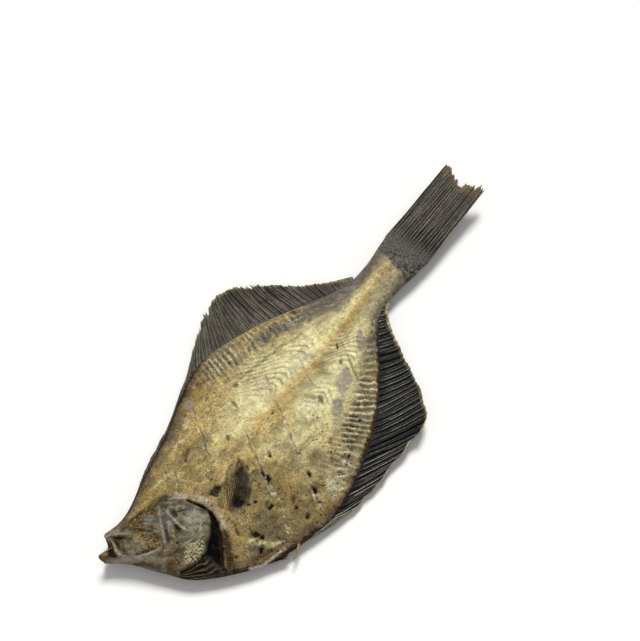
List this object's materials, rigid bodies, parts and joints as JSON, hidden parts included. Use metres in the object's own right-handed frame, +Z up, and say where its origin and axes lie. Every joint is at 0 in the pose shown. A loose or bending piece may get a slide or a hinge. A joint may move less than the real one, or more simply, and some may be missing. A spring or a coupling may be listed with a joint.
{
  "type": "dried flounder",
  "caption": "Whole dried flounder lying flat, pale blind side up, with knife-scored skin, ribbed edges, long swept fins, an open mouth and a half-shut tail.",
  "frame": {"origin": "under the middle of the fish's box, on the surface it lies on", "axes": "+X from head to tail, +Y towards the back (dorsal) edge, +Z up out of the blind side"},
  "size_m": [0.26, 0.121, 0.0143],
  "materials": {
    "dried_skin": "air-dried fish skin, ochre and cream on the blind side, charcoal on the eyed side and fins"
  },
  "bodies": {
    "root": {"dried_flounder": "dried_skin"}
  },
  "joints": []
}
